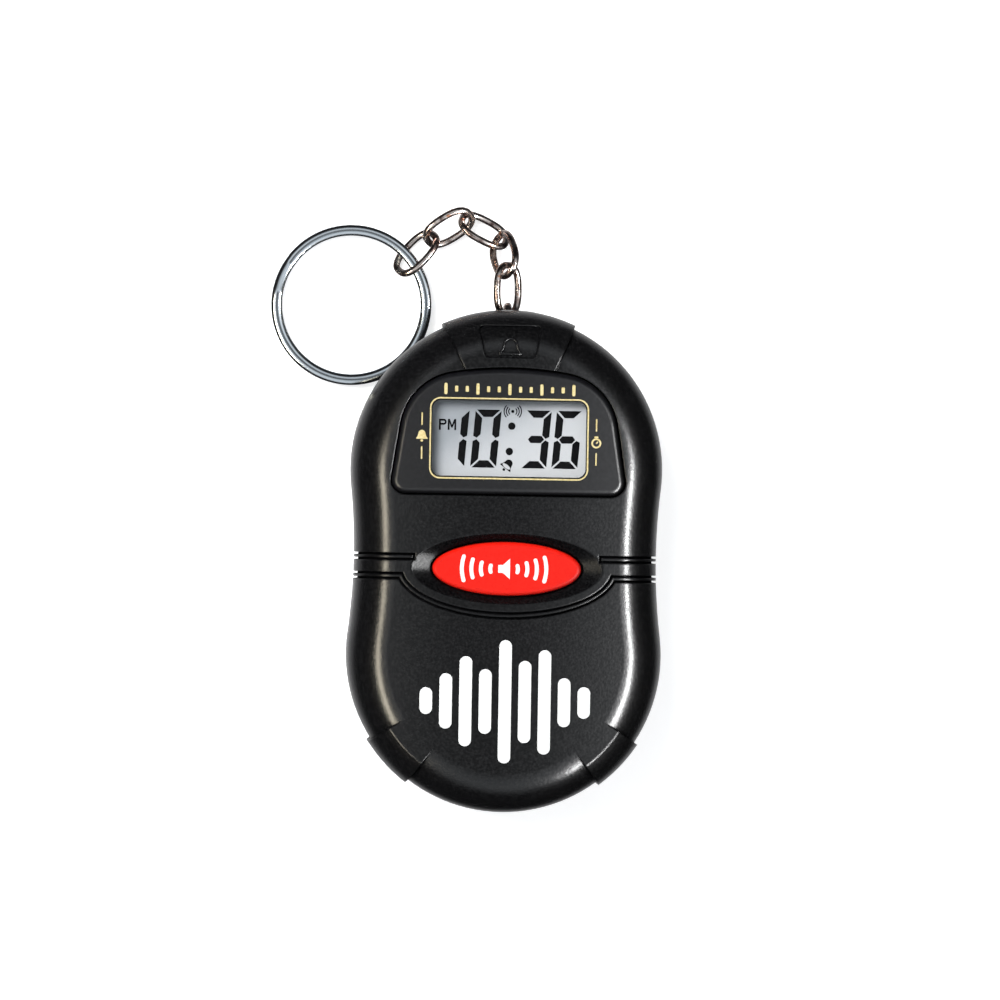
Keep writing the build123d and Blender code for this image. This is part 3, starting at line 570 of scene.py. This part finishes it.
def flat_mesh(loops, thickness, x=0.0, y=0.0, z=0.0):
    """Fills loops given in millimetres and extrudes them up from the point x, y, z, which is in metres."""
    curve = bpy.data.curves.new("flat", "CURVE")
    curve.dimensions = "2D"
    curve.fill_mode = "BOTH"
    curve.extrude = thickness / 2
    for loop in loops:
        spline = curve.splines.new("POLY")
        spline.points.add(len(loop) - 1)
        for point, (px, py) in zip(spline.points, loop):
            point.co = (px, py, 0, 1)
        spline.use_cyclic_u = True
    holder = bpy.data.objects.new("flat", curve)
    mesh = bpy.data.meshes.new_from_object(holder)
    bpy.data.objects.remove(holder)
    lift = Matrix.Translation((0, 0, thickness / 2))
    mesh.transform(Matrix.Translation((x, y, z)) @ Matrix.Scale(mm, 4) @ lift)
    return mesh


print("prints are", ink, "mm thick")

# %% [markdown]
# The display shows 10:36. A liquid-crystal digit is seven bars with mitred ends and thin gaps, leaning a
# little to the right. One function draws a digit's bars from its size.

# %% Digit bars
digit_width, digit_height, digit_bar, digit_gap = 3.3, 7.35, 0.92, 0.16
digit_lean = math.tan(math.radians(4.8))
digit_bars = {"0": "abcdef", "1": "bc", "3": "abcdg", "6": "acdefg"}
digit_places = {"1": -6.92, "0": -2.86, "3": 3.5, "6": 7.45}


def digit_loops(character, x):
    """The dark bars of one digit."""
    w, h, t, k = digit_width / 2, digit_height / 2, digit_bar, digit_gap
    top = [(-w + k, h), (w - k, h), (w - t - k, h - t), (-w + t + k, h - t)]
    waist = [(w, 0.6 * k + 0.25 * t), (w - t / 2, 0.6 * k), (w - t, t / 2 + k / 2)]
    right = [(w, h - k)] + waist + [(w - t, h - t - k)]
    middle = [(-w + t / 2 + k, 0), (-w + t + k / 2, t / 2), (w - t - k / 2, t / 2)]
    middle += [(-px, -py) for px, py in middle]
    shapes = {
        "a": top,
        "b": right,
        "c": [(px, -py) for px, py in right],
        "d": [(px, -py) for px, py in top],
        "e": [(-px, -py) for px, py in right],
        "f": [(-px, py) for px, py in right],
        "g": middle,
    }
    return [[(x + px + digit_lean * py, py) for px, py in shapes[name]] for name in digit_bars[character]]


display_loops = [loop for character, x in digit_places.items() for loop in digit_loops(character, x)]
print("the digits have", len(display_loops), "dark bars")

# %% [markdown]
# The signs beside the digits are the generic ones that such displays have: a colon, PM, a sounding dot and a
# tilted bell with an open mouth. Each is drawn once at a height of 1 or so, and then scaled to its place.

# %% Display segments
def sounding_dot(reach, dot, width, spread, rings):
    """A dot with bent bars on both sides, the common sign for sound."""
    loops = [disc(0, 0, dot)]
    first_gap = 0.8
    for ring in range(1, rings + 1):
        radius = reach * (ring + first_gap) / (rings + first_gap)
        loops += [arc_band(0, 0, radius, width, side - spread, side + spread) for side in (0, 180)]
    return loops


def bell():
    """A bell of height 1 with its clapper."""
    flare = [(0.5, -0.28), (0.5, -0.2), (0.38, -0.06)]
    shoulder, dome_y = 0.31, 0.19
    angles = [math.pi * i / (2 * arc_steps) for i in range(2 * arc_steps + 1)]
    dome = [(shoulder * math.cos(a), dome_y + shoulder * math.sin(a)) for a in angles]
    return [flare + dome + [(-px, py) for px, py in reversed(flare)], disc(0, -0.42, 0.11)]


def afternoon_letters():
    """The letters P and M, of height 1, side by side."""
    stroke, bowl_x, bowl_y, bowl, stem = 0.17, -0.35, 0.23, 0.27, -0.78
    hollow = bowl - stroke
    angles = [math.pi * (0.5 - i / arc_steps) for i in range(arc_steps + 1)]
    outer = [(bowl_x + bowl * math.cos(a), bowl_y + bowl * math.sin(a)) for a in angles]
    inner = [(bowl_x + hollow * math.cos(a), bowl_y + hollow * math.sin(a)) for a in angles]
    letter_p = [(stem, -0.5), (stem, 0.5)] + outer + [(stem + stroke, bowl_y - bowl), (stem + stroke, -0.5)]
    hole = [(stem + stroke, bowl_y + bowl - stroke)] + inner + [(stem + stroke, bowl_y - bowl + stroke)]
    letter_m = [(0.02, -0.5), (0.02, 0.5), (0.2, 0.5), (0.4, -0.02), (0.6, 0.5), (0.78, 0.5), (0.78, -0.5)]
    letter_m += [(0.62, -0.5), (0.62, 0.14), (0.46, -0.28), (0.34, -0.28), (0.18, 0.14), (0.18, -0.5)]
    return [letter_p, hole, letter_m]


display_x, display_y = lcd_middle.x, lcd_middle.y
colon_dots, colon_radius = ((0.4, 1.64), (0.14, -1.58)), 0.47
display_loops += [disc(x, y, colon_radius) for x, y in colon_dots]
display_loops += moved(sounding_dot(reach=1.1, dot=0.2, width=0.14, spread=40, rings=3), x=0.5, y=3.5)
bell_mouth = [(px, 0.4 * py - 0.1) for px, py in disc(0, 0, radius=0.36)]
display_loops += moved(bell() + [bell_mouth], x=-0.1, y=-3.35, size=1.6, turn=-38)
display_loops += moved(afternoon_letters(), x=-7.75, y=1.72, size=1.4)
segments = flat_mesh(display_loops, ink, display_x, display_y, lcd_high.z)
finish_piece("display_segments", segments, "case", lcd_segment)

# %% [markdown]
# A pale gold line runs round the window, with small signs for the alarm and the stopwatch at its sides.

# %% Gold line and signs
# A round end takes a little less than half of a bar's width, so that its two arcs keep apart.
end_share = 2.01
gold_line = 0.18
gold_length, gold_height, gold_corner = 20.15, 10.3, 1.35
bezel_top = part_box("display_bezel")[1].z
gold_loops = [
    rounded(0, 0, gold_length, gold_height, gold_corner),
    rounded(0, 0, gold_length - 2 * gold_line, gold_height - 2 * gold_line, gold_corner - gold_line),
]
sign_x, sign_size = 11.05, 1.45
bell_level, watch_level = 0.23, -0.27
dash_length, dash_shift = 1.6, 2.15
stopwatch = [disc(0, -0.08, 0.44), disc(0, -0.08, 0.29), rounded(0, 0.45, 0.34, 0.16, 0.06)]
stopwatch += moved([rounded(0, 0.1, 0.12, 0.24, 0.05)], 0, -0.1, 1.0, -40)
gold_loops += moved(bell(), -sign_x, bell_level, sign_size)
gold_loops += moved(stopwatch, sign_x, watch_level, sign_size)
for x, level in ((-sign_x, bell_level), (sign_x, watch_level)):
    for shift in (dash_shift, -dash_shift):
        gold_loops.append(rounded(x, level + shift, gold_line, dash_length, gold_line / end_share))
gold = flat_mesh(gold_loops, ink, display_x, display_y, bezel_top)
finish_piece("gold_print", gold, "case", gold_foil)

# %% [markdown]
# What repeats or follows a path is made by Geometry Nodes. Three tools serve each such tree: one opens it
# with named inputs, one closes it, and one runs it, where a modifier takes the values by socket identifier.

# %% Tools for node trees
def new_tree(name, inputs):
    """An empty Geometry Nodes tree with named inputs; returns the tree and its input node's outputs."""
    tree = bpy.data.node_groups.new(name, "GeometryNodeTree")
    tree.interface.new_socket("Geometry", in_out="OUTPUT", socket_type="NodeSocketGeometry")
    for key, kind in inputs.items():
        tree.interface.new_socket(key, in_out="INPUT", socket_type="NodeSocket" + kind)
    return tree, add(tree, "NodeGroupInput").outputs


def close_tree(tree, geometry, material):
    """Ends a tree: its instances are made real and take the material."""
    real = add(tree, "GeometryNodeRealizeInstances", {0: geometry}).outputs[0]
    done = add(tree, "GeometryNodeSetMaterial", {"Geometry": real, "Material": material}).outputs[0]
    add(tree, "NodeGroupOutput", {0: done})


def grow(tree, values):
    """Runs a tree on an empty mesh and returns the result as a plain mesh."""
    holder = bpy.data.objects.new("holder", bpy.data.meshes.new("holder"))
    scene.collection.objects.link(holder)
    modifier = holder.modifiers.new("nodes", "NODES")
    modifier.node_group = tree
    sockets = {item.name: item.identifier for item in tree.interface.items_tree if item.in_out == "INPUT"}
    for key, value in values.items():
        modifier[sockets[key]] = value
    shown = holder.evaluated_get(bpy.context.evaluated_depsgraph_get())
    mesh = bpy.data.meshes.new_from_object(shown)
    bpy.data.objects.remove(holder)
    return mesh


print("tools:", [tool.__name__ for tool in (new_tree, close_tree, grow)])

# %% [markdown]
# Above the window stands a row of plain gold ticks, every third one taller. They repeat along a line: a
# rounded plate is drawn once, raised to the foil's thickness and put on every point of the line.

# %% Gold ticks
tick_inputs = {"Count": "Int", "Pitch": "Float", "Width": "Float", "Height": "Float", "Thickness": "Float"}
tick_inputs |= {"Every": "Int", "Taller": "Float", "Corner": "Float", "Place": "Vector"}
tick_inputs |= {"Material": "Material"}
tick_tree, given = new_tree("tick_row", tick_inputs)
step = add(tick_tree, "ShaderNodeCombineXYZ", {"X": given["Pitch"]}).outputs[0]
line = add(tick_tree, "GeometryNodeMeshLine", {"Count": given["Count"], "Offset": step}).outputs[0]
tick_size = {"Width": given["Width"], "Height": given["Height"]}
tick = add(tick_tree, "GeometryNodeCurvePrimitiveQuadrilateral", tick_size).outputs[0]
fillet = {"Curve": tick, "Count": 6, "Radius": given["Corner"], "Limit Radius": True}
tick_edge = add(tick_tree, "GeometryNodeFilletCurve", fillet, mode="POLY").outputs[0]
tick_face = add(tick_tree, "GeometryNodeFillCurve", {0: tick_edge}, mode="NGONS").outputs[0]
raised = {"Mesh": tick_face, "Offset Scale": given["Thickness"], "Individual": False}
tick_top = add(tick_tree, "GeometryNodeExtrudeMesh", raised).outputs[0]
tick_plate = add(tick_tree, "GeometryNodeJoinGeometry", {0: tick_top})
tick_tree.links.new(tick_face, tick_plate.inputs[0])
number = add(tick_tree, "GeometryNodeInputIndex").outputs[0]
since = add(tick_tree, "ShaderNodeMath", {0: number, 1: given["Every"]}, operation="MODULO").outputs[0]
marked = add(tick_tree, "ShaderNodeMath", {0: since, 1: 0.5}, operation="LESS_THAN").outputs[0]
stretch = {"Value": marked, "To Min": 1.0, "To Max": given["Taller"]}
tall = add(tick_tree, "ShaderNodeMapRange", stretch).outputs[0]
tick_scale = add(tick_tree, "ShaderNodeCombineXYZ", {"X": 1.0, "Y": tall, "Z": 1.0}).outputs[0]
spread = {"Points": line, "Instance": tick_plate.outputs[0], "Scale": tick_scale}
ticks = add(tick_tree, "GeometryNodeInstanceOnPoints", spread).outputs[0]
put = add(tick_tree, "GeometryNodeTransform", {"Geometry": ticks, "Translation": given["Place"]}).outputs[0]
close_tree(tick_tree, put, given["Material"])

tick_count, tick_pitch, tick_shift = 13, 1.35, 6.24
first_tick = display_x - (tick_count - 1) / 2 * tick_pitch * mm
tick_values = {
    "Count": tick_count,
    "Pitch": tick_pitch * mm,
    "Width": 0.4 * mm,
    "Height": 0.75 * mm,
    "Every": 3,
    "Taller": 1.9,
    "Corner": 0.12 * mm,
    "Thickness": ink * mm,
    "Place": (first_tick, display_y + tick_shift * mm, bezel_top),
    "Material": gold_foil,
}
finish_piece("gold_ticks", grow(tick_tree, tick_values), "case", gold_foil)

# %% [markdown]
# White ink fills the lower half of the case with a row of sound bars, tall in the middle, and the talk
# button carries a loudspeaker sign with sound on both sides.

# %% White prints
bar_heights = [3.4, 7.0, 11.4, 8.2, 15.6, 10.4, 13.2, 6.2, 4.0]
bar_pitch, bar_width = 2.5, 1.6
bars_y = -17.6 * mm
bar_loops = [
    rounded((index - (len(bar_heights) - 1) / 2) * bar_pitch, 0, bar_width, tall, bar_width / end_share)
    for index, tall in enumerate(bar_heights)
]
finish_piece("sound_bars", flat_mesh(bar_loops, ink, 0, bars_y, case_front), "case", white_ink)

wave_width, wave_spread = 0.5, 18
speaker_loops = [[(-1.1, 0.5), (-0.5, 0.5), (0.4, 1.3), (0.4, -1.3), (-0.5, -0.5), (-1.1, -0.5)]]
for radius in (1.3, 2.5, 3.7, 4.9):
    speaker_loops.append(arc_band(0.1, 0, radius, wave_width, -wave_spread, wave_spread))
    speaker_loops.append(arc_band(-0.8, 0, radius, wave_width, 180 - wave_spread, 180 + wave_spread))
talk_sign = flat_mesh(speaker_loops, ink, 0, button_y, button_high.z)
finish_piece("talk_sign", talk_sign, "talk_key", white_ink)

# %% [markdown]
# In the recess at the top of the case a small bell outline stands out of the plastic. It is drawn flat and
# then laid on the recess, whose floor is level first and bends down over the case's rounded edge.

# %% Moulded bell
upper_lobe_y = 11.8
recess_level, recess_bend_from, recess_bend = 17.02, 15.0, 5.02
bell_y, bell_size, bell_line, bell_rise, bell_sink = 27.1, 2.9, 0.27, 0.12, 0.05

outer_bell, clapper = moved(bell(), 0, bell_y, bell_size)
inner_bell = moved(bell(), 0, bell_y + bell_line / 4, bell_size - 2.6 * bell_line)[0]
relief = flat_mesh([outer_bell, inner_bell, clapper], bell_rise + bell_sink)
for vertex in relief.vertices:
    past_bend = max(0.0, math.hypot(vertex.co.x, vertex.co.y - upper_lobe_y * mm) / mm - recess_bend_from)
    floor_height = recess_level - recess_bend + math.sqrt(recess_bend**2 - past_bend**2)
    vertex.co.z += (floor_height - bell_sink) * mm
finish_piece("moulded_bell", relief, "case", case_abs)

# %% [markdown]
# The chain's links all have one shape, so one node tree draws a link: a full oval, swept with a small circle
# of wire. The oval is a circle whose points are pushed outwards between its axes by a power below one, which
# is how a superellipse is drawn, and then scaled.

# %% Node tree of a link
link_inputs = {"Size": "Vector", "Power": "Float", "Wire": "Float", "Material": "Material"}
link_tree, given = new_tree("wire_link", link_inputs)
loop = add(link_tree, "GeometryNodeCurvePrimitiveCircle", {"Resolution": 96, "Radius": 1.0}).outputs[0]
spot = add(link_tree, "GeometryNodeInputPosition").outputs[0]
away = add(link_tree, "ShaderNodeVectorMath", {0: spot}, operation="ABSOLUTE").outputs[0]
side = add(link_tree, "ShaderNodeVectorMath", {0: spot}, operation="SIGN").outputs[0]
fuller = add(link_tree, "ShaderNodeVectorMath", {0: away, 1: given["Power"]}, operation="POWER").outputs[0]
pushed = add(link_tree, "ShaderNodeVectorMath", {0: fuller, 1: side}, operation="MULTIPLY").outputs[0]
sized = add(link_tree, "ShaderNodeVectorMath", {0: pushed, 1: given["Size"]}, operation="MULTIPLY").outputs[0]
path = add(link_tree, "GeometryNodeSetPosition", {"Geometry": loop, "Position": sized}).outputs[0]
wire_size = {"Resolution": 28, "Radius": given["Wire"]}
section = add(link_tree, "GeometryNodeCurvePrimitiveCircle", wire_size).outputs[0]
wire = add(link_tree, "GeometryNodeCurveToMesh", {"Curve": path, "Profile Curve": section}).outputs[0]
smooth = add(link_tree, "GeometryNodeSetShadeSmooth", {"Geometry": wire}).outputs[0]
close_tree(link_tree, smooth, given["Material"])
print("a link takes", len(link_tree.nodes), "nodes")

# %% [markdown]
# Each link takes the place of its solid and rides its body. The solid's own long, cross and thin axes, found
# from how its points spread, say where the link lies.

# %% Chain links
def own_axes(node):
    """The middle and the long, cross and thin axes of a solid, as a matrix."""
    points = numpy.array([node.matrix_world @ vertex.co for vertex in node.data.vertices])
    axes = numpy.linalg.eigh(numpy.cov(points.T))[1][:, ::-1]
    axes[:, 2] = numpy.cross(axes[:, 0], axes[:, 1])
    along = points @ axes
    place = Matrix([list(row) for row in axes]).to_4x4()
    place.translation = Vector(axes @ (along.min(axis=0) + along.max(axis=0)) / 2)
    return place


link_wire, link_length, link_width, link_power = 0.92, 7.3, 5.0, 0.8
link_values = {
    "Size": ((link_length - link_wire) / 2 * mm, (link_width - link_wire) / 2 * mm, 0),
    "Power": link_power,
    "Wire": link_wire / 2 * mm,
    "Material": chain_nickel,
}
for number in range(1, 6):
    mesh = grow(link_tree, link_values)
    mesh.transform(own_axes(frame["nodes"][f"chain_link_{number}"]))
    link = finish_piece(f"wire_link_{number}", mesh, f"link_{number}", chain_nickel)
    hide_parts(f"chain_link_{number}")

# %% [markdown]
# The split ring is one rolled wire wound twice. Its tree bends a straight line of points round a circle by an
# angle that grows along it, lifts it by one wire's height within a short crossover, and sweeps the wire's
# rounded section along it.

# %% Node tree of the ring
ring_inputs = {"Radius": "Float", "Turn": "Float", "Crossover": "Float", "Rise": "Float", "Band": "Float"}
ring_inputs |= {"Height": "Float", "Material": "Material"}
ring_tree, given = new_tree("wound_ring", ring_inputs)
line = add(ring_tree, "GeometryNodeCurvePrimitiveLine").outputs[0]
points = add(ring_tree, "GeometryNodeResampleCurve", {"Curve": line, "Count": 361}).outputs[0]
share = add(ring_tree, "GeometryNodeSplineParameter").outputs["Factor"]
back = add(ring_tree, "ShaderNodeMath", {0: given["Turn"], 1: -1.0}, operation="MULTIPLY").outputs[0]
ahead = add(ring_tree, "ShaderNodeMath", {0: given["Turn"], 1: given["Crossover"]}).outputs[0]
angle = add(ring_tree, "ShaderNodeMapRange", {"Value": share, "To Min": back, "To Max": ahead}).outputs[0]
climb = {"Value": angle, "From Max": given["Crossover"], "To Max": given["Rise"]}
level = add(ring_tree, "ShaderNodeMapRange", climb).outputs[0]
sine = add(ring_tree, "ShaderNodeMath", {0: angle}, operation="SINE").outputs[0]
cosine = add(ring_tree, "ShaderNodeMath", {0: angle}, operation="COSINE").outputs[0]
east = add(ring_tree, "ShaderNodeMath", {0: cosine, 1: given["Radius"]}, operation="MULTIPLY").outputs[0]
north = add(ring_tree, "ShaderNodeMath", {0: sine, 1: given["Radius"]}, operation="MULTIPLY").outputs[0]
spot = add(ring_tree, "ShaderNodeCombineXYZ", {"X": east, "Y": north, "Z": level}).outputs[0]
coil = add(ring_tree, "GeometryNodeSetPosition", {"Geometry": points, "Position": spot}).outputs[0]
upright = add(ring_tree, "GeometryNodeSetCurveNormal", {"Curve": coil}, mode="Z_UP").outputs[0]
band_size = add(ring_tree, "ShaderNodeCombineXYZ", {"X": given["Band"], "Y": given["Height"]}).outputs[0]
round_wire = add(ring_tree, "GeometryNodeCurvePrimitiveCircle", {"Resolution": 40, "Radius": 0.5}).outputs[0]
rolled = {"Geometry": round_wire, "Scale": band_size}
section = add(ring_tree, "GeometryNodeTransform", rolled).outputs[0]
sweep = {"Curve": upright, "Profile Curve": section, "Fill Caps": True}
band = add(ring_tree, "GeometryNodeCurveToMesh", sweep).outputs[0]
smooth = add(ring_tree, "GeometryNodeSetShadeSmooth", {"Geometry": band}).outputs[0]
close_tree(ring_tree, smooth, given["Material"])
print("the ring takes", len(ring_tree.nodes), "nodes")

# %% [markdown]
# The ring is centred on its joint's axis, with the crossover at the left, where the photograph shows it. Both
# ends of the wire stop a few degrees short of the crossover, which leaves the slot where keys are pushed on.

# %% Split ring
ring_radius, ring_band, ring_coil, ring_gap = 9.6, 1.4, 0.85, 0.06
ring_heading, crossover_angle, crossover = math.radians(36), math.radians(159), math.radians(24)
ring_notch = math.radians(5)
ring_rise = ring_coil + ring_gap
ring_values = {
    "Radius": ring_radius * mm,
    "Turn": 2 * math.pi - crossover - ring_notch,
    "Crossover": crossover,
    "Rise": ring_rise * mm,
    "Band": ring_band * mm,
    "Height": ring_coil * mm,
    "Material": ring_steel,
}
ring_axis = Vector(ring_joint["axis"])
heading = Vector((math.cos(ring_heading), math.sin(ring_heading), 0))
ring_x = (heading - ring_axis * heading.dot(ring_axis)).normalized()
ring_place = Matrix((ring_x, ring_axis.cross(ring_x), ring_axis)).transposed().to_4x4()
ring_place.translation = ring_centre
ring_turn = Matrix.Rotation(crossover_angle - ring_heading - crossover / 2, 4, "Z")
ring_mesh = grow(ring_tree, ring_values)
ring_mesh.transform(ring_place @ ring_turn @ Matrix.Translation((0, 0, -ring_rise / 2 * mm)))
ring = finish_piece("wound_ring", ring_mesh, "ring", ring_steel)
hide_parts("split_ring")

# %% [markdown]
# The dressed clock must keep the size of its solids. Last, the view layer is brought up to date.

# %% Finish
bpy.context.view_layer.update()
